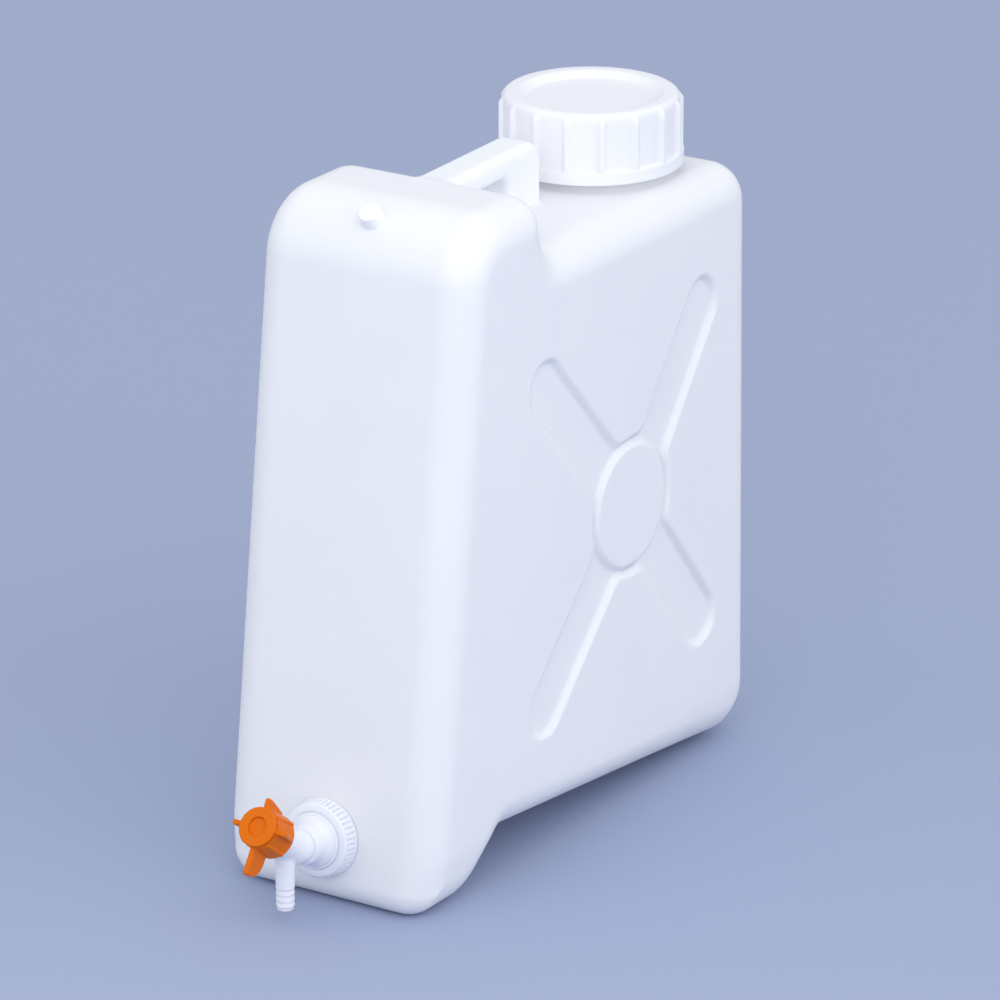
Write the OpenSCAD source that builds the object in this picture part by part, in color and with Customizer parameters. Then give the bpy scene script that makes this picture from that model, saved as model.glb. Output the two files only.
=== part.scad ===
// Slim 20 litre tank with a wide screw cap, a carrying handle and a spigot at its foot.
// Millimetres. X is the width, -Y is the front with the spigot, Z is up and z = 0 is the floor.
// The origin is on the floor, under the middle of the whole part. The modules below measure y from
// the middle of the side faces instead, and placed() moves them to the origin.

/* [Tank body] */
// Width of the tank between its two flat side faces
tank_w = 160; // [150:1:180]
// Distance from the middle of the side faces to the front face at floor level
front_y = 200.5; // [195:0.5:205]
// Distance from the middle of the side faces to the rear face at floor level
rear_y = 202; // [198:1:208]
// Height of the flat shoulder that carries the neck
shoulder_z = 402; // [396:1:408]
// Height of the front hump above the shoulder
hump_rise = 41.5; // [39:0.5:44]
// Lean of the front face, in millimetres of depth for each millimetre of height
front_lean = 0.122; // [0.1:0.002:0.14]
// Lean of the rear face, in millimetres of depth for each millimetre of height
rear_lean = 0.018; // [0:0.002:0.03]
// Radius where the side faces meet the rest of the body
edge_r = 24; // [18:1:25]
// Thickness of the blown wall
wall = 2.4; // [1.8:0.1:3]

/* [Side panels] */
// Depth of the recessed cross in each side face
recess_depth = 4; // [2:0.5:5]
// Half width of one arm of the cross
arm_r = 20; // [16:1:22]
// Outer radius of the recessed ring
ring_r = 48; // [44:1:52]
// Radius of the flush disc inside the recessed ring
island_r = 35; // [30:1:38]

/* [Handle] */
// Width of the handle bar and its post
handle_w = 28; // [24:1:32]
// Height of the rear end of the handle above the hump
handle_rise = 1.5; // [0:0.5:4]
// Thickness of the handle bar
bar_h = 15.5; // [13:0.5:18]

/* [Neck and cap] */
// Distance of the neck axis behind the middle of the side faces
neck_y = 120; // [115:1:125]
// Inner radius of the neck
neck_bore_r = 48; // [44:1:49]
// Wall of the neck between its threads
neck_wall = 4; // [3:0.5:5]
// Wall of the cap skirt between its ribs
cap_wall = 2.7; // [2.2:0.1:3.5]
// Height of the cap from its lower edge to its rim
cap_h = 45.5; // [42:0.5:50]
// Clear height between the shoulder and the lower edge of the cap
cap_gap = 5.5; // [4:0.5:8]
// Number of grip ribs on the cap
cap_ribs = 16; // [12:1:24]
// Rise of the cap thread in one turn
cap_pitch = 6; // [5:0.5:7]

/* [Spigot] */
// Height at which the outlet axis meets the front face; the axis stands square to that face
spigot_z = 44; // [43:0.5:46]
// Distance from the front face to the bend, where the valve axis leaves the outlet axis
bend_reach = 34; // [33:0.5:36]
// Slope of the valve axis above the horizontal, in degrees
valve_tilt = 36; // [34:1:40]
// Outer radius of the ring nut at its back
nut_r = 25.2; // [24:0.1:26]
// Number of grip ribs on the ring nut
nut_ribs = 44; // [36:1:50]
// Outer radius of the hose tail
nozzle_r = 6; // [5.5:0.25:6.5]
// Distance from the front face to the axis of the hose tail
nozzle_reach = 44; // [42:0.5:46]
// Height of the open end of the hose tail above the floor
nozzle_end_z = 11; // [9:0.5:12]
// Distance from the bend to the face of the knob
knob_face = 50; // [49.5:0.5:52]
// Length of the knob along its axis
knob_len = 23.5; // [22:0.5:24]
// Radius of the three short wings of the knob
wing_r = 19.5; // [18:0.5:21]
// Radius of the long wing of the knob
lever_r = 30; // [28:0.5:32]
// Rise of the knob and the plunger in one turn
knob_pitch = 5; // [4.5:0.5:5]

/* [Hidden] */
$fn = 96;

white = [0.93, 0.94, 0.97];
bright_white = [0.96, 0.97, 0.99];
orange = [0.93, 0.46, 0.03];
rubber = [0.16, 0.16, 0.17];
foam = [0.86, 0.87, 0.88];

// Degrees of turn that one facet of a body corner spans
CORNER_STEP = 10;
// Facets across the quarter round at the side faces
EDGE_STEPS = 6;
// Tightest corner of an outline that is moved inwards
CORNER_MIN = 2;

hump_z = shoulder_z + hump_rise;
handle_z = hump_z + handle_rise;
grip_z = hump_z - bar_h;
front_top_y = -front_y + front_lean * hump_z;
rear_top_y = rear_y - rear_lean * shoulder_z;

// Outline of the body seen from its right side: y, z and radius of each corner, counter-clockwise
BODY = [
    [-front_y, 0, 26],
    [-139, 0, 42],
    [-106, 32, 6],
    [rear_y, 0, 30],
    [rear_top_y, shoulder_z, 26],
    [-49, shoulder_z, 16],
    [-59, hump_z, 20],
    [front_top_y, hump_z, 45],
];
// A point inside the outline from which every corner can be seen
BODY_EYE = [-80, 200];

post_front_y = 2;
post_rear_y = 39.5;
// Outline of the handle bar and its post seen from the right side
HANDLE = [
    [post_front_y, shoulder_z - 12, 7],
    [post_rear_y, shoulder_z - 12, 7],
    [post_rear_y, handle_z, 15],
    [-80, hump_z - 0.5, 7],
    [-80, grip_z - 3, 7],
    [post_front_y, grip_z, 9],
];
HANDLE_EYE = [post_front_y + 8, grip_z + 8];
HANDLE_ROUND = 6.5;

// Middle of the recessed ring and the far ends of the four arms, as y and z on a side face
RING = [43, 208];
ARM_TIPS = [[-60, 317], [128, 320], [130, 103], [-60, 102]];
// Distance from the middle of the ring to the near end of an arm
ARM_START = 25;
// Slope of the recess walls: outward growth for each millimetre of height
DRAFT = 0.8;
// Growth of the recess where it pushes into the inside of the tank
INNER_GROW = 1.6;

thread_depth = 2.1;
// Radial play between the cap and the crest of the neck thread
thread_play = 0.7;
gasket_t = 1.5;
cap_base_z = shoulder_z + cap_gap;
cap_top_z = cap_base_z + cap_h;
cap_recess_z = cap_top_z - 4.5;
cap_plate_t = 3.2;
cap_band_z = cap_base_z + 8.5;
neck_top_z = cap_recess_z - cap_plate_t - gasket_t - 0.3;
neck_r = neck_bore_r + neck_wall;
cap_inner_r = neck_r + thread_depth + thread_play;
cap_skirt_r = cap_inner_r + cap_wall;
cap_r = cap_skirt_r + 2.5;
cap_recess_r = cap_skirt_r - 11.5;
thread_base_z = shoulder_z + 16;
neck_turns = 1.25;

stud_r = 6.5;
// Angle of the stud above the horizontal
stud_tilt = 55;
stud_len = 9;

// Place on the front face where the outlet axis starts, and slope of that axis
outlet_y = -front_y + front_lean * spigot_z;
outlet_tilt = atan(front_lean);
bend_y = outlet_y - bend_reach * cos(outlet_tilt);
bend_z = spigot_z + bend_reach * sin(outlet_tilt);
nozzle_y = outlet_y - nozzle_reach;
nozzle_top_z = spigot_z + 7;
// The hose tail widens from here up to where it enters the barrel
tail_root_z = spigot_z - 8;
tail_root_r = nozzle_r + 0.7;
// Distances in front of the outlet face, along the spigot axis
boss_len = 5;
outlet_gasket_t = 2;
flange_front = boss_len + outlet_gasket_t + 2.6;
nut_back = 0.4;
nut_front = flange_front + 2.4;
collar_start = 17.6;
collar_end = 27;

boss_r = 20.6;
boss_bore_r = 15;
nut_bore_r = boss_r + 0.6;
nut_lip_r = 18.8;
flange_r = 20.2;
collar_r = 12.5;
stem_r = 10.2;
sleeve_r = 14.6;
waterway_r = 7.5;
inlet_bore_r = 4.2;
orifice_r = 3.4;
nozzle_bore_r = 3.4;

// Distances along the valve axis from the bend
seat_t = 3;
chamber_end_t = 17;
oring_t = 21;
barrel_end_t = knob_face - 9.5;
knob_back = knob_face - knob_len;
plunger_head_t = knob_face - 6;
valve_thread_t = barrel_end_t - 11;

barrel_r = 10.4;
chamber_r = 8;
piston_bore_r = 7.2;
piston_r = piston_bore_r - 0.08;
washer_r = 6.9;
washer_t = 1.8;
oring_wire_r = 0.95;
knob_bore_r = barrel_r + 1.1;
valve_thread_depth = 0.7;

// Foremost point of the part, at the tip of the long wing of the knob
foremost_y = bend_y - (knob_face - 4.4) * cos(valve_tilt) - lever_r * sin(valve_tilt);

// Unit vector along v
function unit(v) = v / norm(v);
// Unit vector 90 degrees to the left of v
function left(v) = [-v[1], v[0]];
// Point i of a closed list of corners
function corner(c, i) = let (p = c[(i + len(c)) % len(c)]) [p[0], p[1]];
// Directions of the edges that arrive at and leave corner i
function edge_in(c, i) = unit(corner(c, i) - corner(c, i - 1));
function edge_out(c, i) = unit(corner(c, i + 1) - corner(c, i));
// Signed angle by which the outline turns at corner i
function turn(c, i) = let (u = edge_in(c, i), v = edge_out(c, i))
    atan2(u[0] * v[1] - u[1] * v[0], u * v);
// Corner i moved inwards by d
function moved(c, i, d) = let (u = edge_in(c, i), v = edge_out(c, i))
    corner(c, i) + d * (left(u) + left(v)) / (1 + u * v);

// Points of the rounded corner i of an outline that is moved inwards by d
function corner_arc(c, i, d) =
    let (
        side = sign(turn(c, i)),
        r = max(CORNER_MIN, c[i][2] - side * d),
        middle = moved(c, i, d + side * r),
        start = atan2(left(edge_in(c, i))[1], left(edge_in(c, i))[0]),
        steps = max(3, ceil(abs(turn(c, i)) / CORNER_STEP))
    )
    [for (k = [0 : steps]) let (a = start + turn(c, i) * k / steps)
        middle - side * r * [cos(a), sin(a)]];

// Rounded outline moved inwards by d
function outline(c, d) = [for (i = [0 : len(c) - 1]) each corner_arc(c, i, d)];

// Solid whose outline seen along X is c, with its edges at both sides rounded by r.
// skin moves the whole surface inwards, and eye is a point inside every outline.
module soft_slab(c, half_w, r, eye, skin = 0) {
    round_r = r - skin;
    layers = concat(
        [for (k = [0 : EDGE_STEPS]) let (a = 90 - 90 * k / EDGE_STEPS)
            [-(half_w - r) - round_r * sin(a), skin + round_r * (1 - cos(a))]],
        [for (k = [0 : EDGE_STEPS]) let (a = 90 * k / EDGE_STEPS)
            [half_w - r + round_r * sin(a), skin + round_r * (1 - cos(a))]]
    );
    rings = [for (l = layers) [for (p = outline(c, l[1])) [l[0], p[0], p[1]]]];
    n = len(rings[0]);
    last = len(rings) - 1;
    points = concat([for (ring = rings) each ring],
        [[layers[0][0], eye[0], eye[1]], [layers[last][0], eye[0], eye[1]]]);
    sides = [for (j = [0 : last - 1]) for (i = [0 : n - 1]) let (
        a = j * n + i, b = j * n + (i + 1) % n, d = a + n, e = b + n)
        each [[a, d, b], [b, d, e]]];
    caps = [for (i = [0 : n - 1]) each [
        [i, (i + 1) % n, (last + 1) * n],
        [last * n + (i + 1) % n, last * n + i, (last + 1) * n + 1]]];
    polyhedron(points, concat(sides, caps), convexity = 6);
}

// Outline of a band with round ends between points a and b, as y and z
function band(a, b, r) = let (dir = unit(b - a), start = atan2(dir[1], dir[0]))
    concat(
        [for (k = [0 : 8]) let (t = start - 90 + 180 * k / 8) b + r * [cos(t), sin(t)]],
        [for (k = [0 : 8]) let (t = start + 90 + 180 * k / 8) a + r * [cos(t), sin(t)]]);

// Band between a and b whose radius grows from r1 at x1 to r2 at x2
module tapered_band(a, b, x1, r1, x2, r2) {
    low = [for (p = band(a, b, r1)) [x1, p[0], p[1]]];
    high = [for (p = band(a, b, r2)) [x2, p[0], p[1]]];
    n = len(low);
    sides = [for (i = [0 : n - 1]) let (j = (i + 1) % n) each [[i, n + i, j], [j, n + i, n + j]]];
    ends = [for (i = [1 : n - 2]) each [[0, i, i + 1], [n, n + i + 1, n + i]]];
    polyhedron(concat(low, high), concat(sides, ends), convexity = 3);
}

// Cutter for the recessed cross on the right side face; grow makes it wider and deeper
module cross_cutter(grow) {
    floor_x = tank_w / 2 - recess_depth - grow;
    open_x = tank_w / 2 + 1;
    flare = DRAFT * (open_x - floor_x);
    floor_r = arm_r - DRAFT * recess_depth + grow * 0.6;
    difference() {
        union() {
            for (tip = ARM_TIPS)
                tapered_band(RING + ARM_START * unit(tip - RING), tip,
                    floor_x, floor_r, open_x, floor_r + flare);
            translate([floor_x, RING[0], RING[1]])
                rotate([0, 90, 0])
                    cylinder(h = open_x - floor_x, r1 = ring_r - DRAFT * recess_depth + grow * 0.6,
                        r2 = ring_r - DRAFT * recess_depth + grow * 0.6 + flare);
        }
        translate([floor_x - 1, RING[0], RING[1]])
            rotate([0, 90, 0])
                cylinder(h = open_x - floor_x + 2, r1 = island_r + DRAFT * (recess_depth + 1) - grow * 0.6,
                    r2 = island_r - DRAFT - grow * 0.6 - 0.8);
    }
}

// The same cutter on both side faces
module cross_cutters(grow) {
    cross_cutter(grow);
    mirror([1, 0, 0]) cross_cutter(grow);
}

// One turn and more of a square thread ridge round the Z axis: root radius, crest radius,
// axial width at the root, height of the start, and number of turns
module thread(root, crest, width, z0, pitch, turns, steps = 24) {
    n = round(turns * steps);
    // The ridge fades into its root over the first and the last steps
    function reach(k) = root + (crest - root) * min(1, k / 2, (n - k) / 2);
    embed = crest > root ? -0.6 : 0.6;
    points = [for (k = [0 : n]) let (
            a = 360 * k / steps, z = z0 + pitch * k / steps,
            c = abs(reach(k) - root) < 0.01 ? root + (crest - root) * 0.05 : reach(k))
        each [
            [(root + embed) * cos(a), (root + embed) * sin(a), z - width / 2],
            [c * cos(a), c * sin(a), z - width / 4],
            [c * cos(a), c * sin(a), z + width / 4],
            [(root + embed) * cos(a), (root + embed) * sin(a), z + width / 2]]];
    quads = [for (k = [0 : n - 1]) for (i = [0 : 3]) let (
            a = 4 * k + i, b = 4 * k + (i + 1) % 4, d = a + 4, e = b + 4)
        each crest > root ? [[a, b, d], [b, e, d]] : [[a, d, b], [b, d, e]]];
    m = 4 * n;
    ends = crest > root
        ? [[0, 3, 1], [1, 3, 2], [m, m + 1, m + 3], [m + 1, m + 2, m + 3]]
        : [[0, 1, 3], [1, 2, 3], [m, m + 3, m + 1], [m + 1, m + 3, m + 2]];
    polyhedron(points, concat(quads, ends), convexity = 4);
}

// Moves children to the outlet, with their Z axis pointing forward along the spigot
module at_outlet() {
    translate([0, outlet_y, spigot_z]) rotate([90 - outlet_tilt, 0, 0]) children();
}

// Moves children to the bend, with their Z axis pointing forward and up along the valve
module at_valve() {
    translate([0, bend_y, bend_z]) rotate([90 - valve_tilt, 0, 0]) children();
}

// Middle of the front arc of the hump
function hump_arc_middle() = moved(BODY, 7, BODY[7][2]);

// Short closed stud on the front of the hump
module stud() {
    foot = hump_arc_middle() + (BODY[7][2] - 4) * [-cos(stud_tilt), sin(stud_tilt)];
    translate([0, foot[0], foot[1]])
        rotate([90 - stud_tilt, 0, 0])
            rotate_extrude()
                polygon([[0, 0], [stud_r + 0.4, 0], [stud_r, 4], [stud_r, stud_len + 3],
                    [stud_r - 1, stud_len + 4], [0, stud_len + 4]]);
}

module tank() {
    color(white)
    difference() {
        union() {
            difference() {
                soft_slab(BODY, tank_w / 2, edge_r, BODY_EYE);
                cross_cutters(0);
            }
            soft_slab(HANDLE, handle_w / 2, HANDLE_ROUND, HANDLE_EYE);
            stud();
            translate([0, neck_y, shoulder_z - 6])
                cylinder(h = neck_top_z - shoulder_z + 6, r = neck_r);
            translate([0, neck_y, 0])
                thread(neck_r, neck_r + thread_depth, 2.4, thread_base_z, cap_pitch, neck_turns);
            at_outlet() translate([0, 0, -4]) cylinder(h = boss_len + 4, r = boss_r);
        }
        difference() {
            soft_slab(BODY, tank_w / 2, edge_r, BODY_EYE, wall);
            cross_cutters(INNER_GROW);
        }
        translate([0, neck_y, shoulder_z - 12])
            cylinder(h = neck_top_z - shoulder_z + 13, r = neck_bore_r);
        at_outlet() translate([0, 0, -12]) cylinder(h = boss_len + 13, r = boss_bore_r);
    }
}

// One rib of a ring of grip ribs: outline in radius and height, and thickness
module rib(points, thick) {
    rotate([90, 0, 0])
        translate([0, 0, -thick / 2])
            linear_extrude(thick) polygon(points);
}

module screw_cap() {
    color(bright_white)
    translate([0, neck_y, 0]) {
        rotate_extrude()
            polygon([
                [0, cap_recess_z - cap_plate_t], [cap_inner_r, cap_recess_z - cap_plate_t],
                [cap_inner_r, cap_base_z], [cap_r + 0.2, cap_base_z],
                [cap_r + 0.2, cap_band_z - 1], [cap_r - 0.6, cap_band_z], [cap_skirt_r, cap_band_z],
                [cap_skirt_r, cap_top_z - 4], [cap_skirt_r - 1.2, cap_top_z - 1.2],
                [cap_skirt_r - 4, cap_top_z], [cap_recess_r + 1, cap_top_z],
                [cap_recess_r, cap_top_z - 1], [cap_recess_r - 1.5, cap_recess_z], [0, cap_recess_z]]);
        for (i = [0 : cap_ribs - 1])
            rotate([0, 0, (i + 0.5) * 360 / cap_ribs])
                rib([[cap_skirt_r - 1.5, cap_band_z - 1], [cap_r - 0.2, cap_band_z - 1],
                    [cap_r - 0.6, cap_top_z - 5], [cap_r - 1.6, cap_top_z - 3],
                    [cap_skirt_r - 1.5, cap_top_z - 3]], 3.4);
        thread(cap_inner_r, cap_inner_r - thread_depth, 2.4, thread_base_z + cap_pitch / 2,
            cap_pitch, neck_turns);
    }
}

module cap_gasket() {
    color(foam)
    translate([0, neck_y, neck_top_z])
        rotate_extrude()
            polygon([[neck_bore_r - 1, 0], [neck_r + 1.5, 0],
                [neck_r + 1.5, gasket_t], [neck_bore_r - 1, gasket_t]]);
}

module ring_nut() {
    color(bright_white)
    at_outlet() {
        rotate_extrude()
            polygon([[nut_bore_r, nut_back], [nut_r - 0.3, nut_back], [nut_r, nut_back + 0.3],
                [nut_r, nut_back + 1.2], [nut_r - 1.1, nut_back + 1.5], [nut_r - 1.3, nut_front - 2.4],
                [nut_r - 2.8, nut_front - 1.2], [nut_r - 5, nut_front], [nut_lip_r, nut_front],
                [nut_lip_r, flange_front], [nut_bore_r, flange_front]]);
        for (i = [0 : nut_ribs - 1])
            rotate([0, 0, i * 360 / nut_ribs])
                rib([[nut_r - 3, nut_back + 0.6], [nut_r - 0.1, nut_back + 0.6],
                    [nut_r - 0.3, nut_front - 2.7], [nut_r - 1.4, nut_front - 2],
                    [nut_r - 3, nut_front - 2]], 2.2);
    }
}

module outlet_gasket() {
    color(rubber)
    at_outlet()
        translate([0, 0, boss_len])
            rotate_extrude()
                polygon([[sleeve_r + 0.1, 0], [flange_r, 0],
                    [flange_r, outlet_gasket_t], [sleeve_r + 0.1, outlet_gasket_t]]);
}

// Outside of the spigot along the outlet axis: sleeve, flange, steps and tube
module spigot_stem() {
    rotate_extrude()
        polygon([[0, -2], [sleeve_r - 0.6, -2], [sleeve_r, -1], [sleeve_r, boss_len + outlet_gasket_t],
            [flange_r, boss_len + outlet_gasket_t], [flange_r, flange_front],
            [nut_lip_r - 0.3, flange_front], [nut_lip_r - 0.3, nut_front + 0.6],
            [nut_lip_r - 1, nut_front + 1.3], [nut_lip_r - 2.2, nut_front + 1.3],
            [nut_lip_r - 2.2, nut_front + 2], [nut_lip_r - 3, nut_front + 2.8],
            [collar_r + 0.8, collar_start - 0.6], [collar_r, collar_start],
            [collar_r, collar_end - 0.8], [collar_r - 0.8, collar_end], [stem_r, collar_end],
            [stem_r, bend_reach], [0, bend_reach]]);
}

// Outside of the hose tail, hanging under the barrel
module hose_tail() {
    length = nozzle_top_z - nozzle_end_z;
    barbs = [for (k = [0 : 2]) each [
        [nozzle_r - 0.45, length - 14 + 4 * k], [nozzle_r, length - 11.2 + 4 * k],
        [nozzle_r, length - 10.8 + 4 * k]]];
    translate([0, nozzle_y, nozzle_top_z])
        rotate([180, 0, 0])
            rotate_extrude()
                polygon(concat([[0, 0], [tail_root_r, 0], [nozzle_r, nozzle_top_z - tail_root_z],
                    [nozzle_r, length - 15]], barbs,
                    [[nozzle_r - 0.5, length - 2.4], [nozzle_r - 0.9, length], [0, length]]));
}

// Barrel that carries the valve
module barrel() {
    rotate_extrude()
        polygon([[0, 0], [barrel_r, 0], [barrel_r, barrel_end_t - 0.8],
            [barrel_r - 0.8, barrel_end_t], [0, barrel_end_t]]);
    thread(barrel_r, barrel_r + valve_thread_depth, 1.6, valve_thread_t, knob_pitch, 2);
}

module spigot_body() {
    color(bright_white)
    difference() {
        union() {
            at_outlet() spigot_stem();
            translate([0, bend_y, bend_z]) sphere(r = barrel_r);
            at_valve() barrel();
            hose_tail();
        }
        at_outlet() {
            translate([0, 0, -3]) cylinder(h = collar_start + 3, r = waterway_r);
            cylinder(h = bend_reach + 1, r = inlet_bore_r);
        }
        at_valve() {
            cylinder(h = seat_t + 1, r = orifice_r);
            translate([0, 0, seat_t]) cylinder(h = chamber_end_t - seat_t + 0.01, r = chamber_r);
            translate([0, 0, chamber_end_t]) cylinder(h = barrel_end_t, r = piston_bore_r);
        }
        translate([0, nozzle_y, nozzle_end_z - 1])
            cylinder(h = nozzle_top_z - nozzle_end_z, r = nozzle_bore_r);
    }
}

module seat_washer() {
    color(foam)
    at_valve()
        translate([0, 0, seat_t + 0.1])
            rotate_extrude()
                polygon([[2.1, 0], [washer_r, 0], [washer_r, washer_t], [2.1, washer_t]]);
}

module valve_plunger() {
    base = seat_t + 0.1 + washer_t;
    head = plunger_head_t;
    color(bright_white)
    at_valve()
        rotate_extrude()
            polygon([[0, base - washer_t + 0.4], [2, base - washer_t + 0.4], [2, base],
                [washer_r, base], [washer_r, base + 1.6], [4, base + 2.6], [4, oring_t - 3],
                [piston_r, oring_t - 2.4], [piston_r, oring_t - 1.1],
                [piston_bore_r - 2 * oring_wire_r, oring_t - 1.1],
                [piston_bore_r - 2 * oring_wire_r, oring_t + 1.1],
                [piston_r, oring_t + 1.1], [piston_r, oring_t + 6],
                [4, oring_t + 7], [4, head - 3], [5.4, head - 3], [5.4, head - 1.6],
                [4.4, head], [0, head]]);
}

module plunger_oring() {
    color(rubber)
    at_valve()
        translate([0, 0, oring_t])
            rotate_extrude()
                translate([piston_bore_r - oring_wire_r - 0.02, 0])
                    circle(r = oring_wire_r - 0.02, $fn = 32);
}

// Radius of the knob body at a distance along the valve axis
function knob_r(t) = 14.3 - 1.1 * (t - knob_back) / knob_len;

// One short wing, highest near the face: outline in radius and distance along the valve axis
function short_wing() = [
    [12, knob_back + 2], [knob_r(knob_back) + 1.2, knob_back + 2], [wing_r - 0.9, knob_face - 9],
    [wing_r, knob_face - 4], [wing_r - 0.3, knob_face - 2], [wing_r - 1.4, knob_face - 1.2],
    [12, knob_face - 2.6]];

// The long wing has a large round at its far back corner
function long_wing() = concat(
    [[12, knob_back + 3.6], [lever_r - 11.6, knob_back + 3.6]],
    [for (a = [-75 : 15 : 0]) [lever_r - 11, knob_back + 14.6] + 11 * [cos(a), sin(a)]],
    [[lever_r - 0.2, knob_face - 4.4], [lever_r - 1.2, knob_face - 3.6], [12, knob_face - 3.4]]);

module valve_knob() {
    plate_t = knob_face - 4.6;
    socket_t = knob_face - 12;
    front_r = knob_r(knob_face);
    color(orange)
    at_valve()
        difference() {
            union() {
                rotate_extrude()
                    polygon([[4.15, socket_t], [6.6, socket_t], [6.6, plate_t], [knob_bore_r, plate_t],
                        [knob_bore_r, knob_back], [knob_r(knob_back), knob_back],
                        [front_r, knob_face - 3], [front_r - 1, knob_face - 2.7],
                        [front_r - 1, knob_face - 2.1], [front_r - 0.3, knob_face - 1.8],
                        [front_r - 0.3, knob_face - 0.6], [front_r - 1, knob_face],
                        [0, knob_face], [0, plunger_head_t + 0.1], [5.5, plunger_head_t + 0.1],
                        [5.5, plunger_head_t - 3.1], [4.15, plunger_head_t - 3.1]]);
                for (i = [0 : 3])
                    rotate([0, 0, 90 * i]) rib(i == 3 ? long_wing() : short_wing(), 3.4);
                for (i = [0 : 3])
                    rotate([0, 0, 90 * i + 45])
                        rib([[12, knob_back + 0.8], [knob_r(knob_back) + 1, knob_back + 0.8],
                            [front_r + 1, knob_face - 4.2], [12, knob_face - 4.2]], 2.4);
                thread(knob_bore_r, knob_bore_r - valve_thread_depth, 1.6,
                    valve_thread_t + knob_pitch / 2, knob_pitch, 1);
            }
            translate([0, 0, knob_face - 1.2])
                rotate_extrude()
                    polygon([[0, 0], [5.9, 0], [6.6, 1.3], [0, 1.3]]);
        }
}

// Moves children so that the origin lies under the middle of the whole part
module placed() {
    translate([0, -(foremost_y + rear_y) / 2, 0]) children();
}

placed() tank();
placed() screw_cap();
placed() cap_gasket();
placed() ring_nut();
placed() outlet_gasket();
placed() spigot_body();
placed() valve_plunger();
placed() plunger_oring();
placed() seat_washer();
placed() valve_knob();
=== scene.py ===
"""Slim 20 litre water tank with a screw cap and a spigot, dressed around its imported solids."""

import math

import bpy
import numpy as np
from mathutils import Matrix, Vector


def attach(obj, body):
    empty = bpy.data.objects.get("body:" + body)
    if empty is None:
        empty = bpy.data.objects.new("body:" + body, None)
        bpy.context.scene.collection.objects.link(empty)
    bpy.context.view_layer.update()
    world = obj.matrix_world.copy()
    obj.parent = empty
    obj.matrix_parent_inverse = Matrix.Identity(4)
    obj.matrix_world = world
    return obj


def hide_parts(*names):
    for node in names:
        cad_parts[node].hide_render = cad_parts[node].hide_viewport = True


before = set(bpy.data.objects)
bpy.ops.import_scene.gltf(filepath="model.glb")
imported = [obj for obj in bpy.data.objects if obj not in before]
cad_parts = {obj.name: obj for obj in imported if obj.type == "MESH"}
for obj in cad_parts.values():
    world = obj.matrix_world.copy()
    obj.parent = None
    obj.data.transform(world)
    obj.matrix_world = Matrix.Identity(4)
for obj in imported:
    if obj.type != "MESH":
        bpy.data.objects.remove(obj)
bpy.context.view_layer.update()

# Pieces are made in millimetres, and this brings them to metres
TO_METRES = Matrix.Diagonal((0.001, 0.001, 0.001, 1))

# Sizes in millimetres. Y is measured from the middle of the side faces until a piece is placed.
TANK_HALF_W = 80
EDGE_R = 24
WALL = 2.4
# The side faces draw in by this much from DRAW_TOP_Z down to DRAW_LOW_Z
DRAW_IN = 3
DRAW_TOP_Z = 42
DRAW_LOW_Z = 10
SHOULDER_Z = 402
HUMP_Z = 443.5
FRONT_Y = 200.5
REAR_Y = 202
FRONT_LEAN = 0.122
REAR_LEAN = 0.018
FRONT_TOP_Y = -FRONT_Y + FRONT_LEAN * HUMP_Z

# Outline of the body seen from its right side: y, z and radius of each corner
BODY = [
    (-FRONT_Y, 0, 17),
    (-139, 0, 42),
    (-106, 32, 6),
    (REAR_Y, 0, 30),
    (REAR_Y - REAR_LEAN * SHOULDER_Z, SHOULDER_Z, 26),
    (-49, SHOULDER_Z, 16),
    (-59, HUMP_Z, 20),
    (FRONT_TOP_Y, HUMP_Z, 45),
]
# Outline of the handle bar and its post
HANDLE = [
    (2, SHOULDER_Z - 12, 7),
    (39.5, SHOULDER_Z - 12, 7),
    (39.5, 445, 15),
    (-80, HUMP_Z - 0.5, 7),
    (-80, 425, 7),
    (2, 428, 9),
]
HANDLE_HALF_W = 14
HANDLE_EDGE_R = 6.5
HANDLE_FILLET = 2.5

RECESS_DEPTH = 4
RECESS_WALL = 5
ARM_R = 20
ARM_FILLET = 8
RING_R = 48
ISLAND_R = 35
RING = (43, 208)
ARM_TIPS = [(-60, 317), (128, 320), (130, 103), (-60, 102)]

NECK_Y = 120
NECK_R = 52
NECK_BORE_R = 48
NECK_TOP_Z = 443.5
NECK_FILLET = 6
CAP_R = 60
CAP_TOP_Z = 454
CAP_BASE_Z = 407.5
CAP_PITCH = 6
CAP_RIBS = 16
CAP_RIB_PHASE = 0.22
CAP_RIB_W = 4.3
CAP_RIB_EDGE = 1.1
CAP_RIM_R = 44
CAP_INNER_R = NECK_R + 2.8
THREAD_DEPTH = 2.1
THREAD_W = 3.2
THREAD_Z = SHOULDER_Z + 16
NECK_TURNS = 1.25

STUD_R = 7
STUD_TILT = math.radians(52)
STUD_END = 54
STUD_ROOT = STUD_END - 14
STUD_EDGE_R = 0.7
STUD_FILLET = 1.2
# Middle of the front arc of the hump, where the axis of the stud starts
HUMP_ARC = (FRONT_TOP_Y + 39.9, HUMP_Z - 45)

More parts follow.
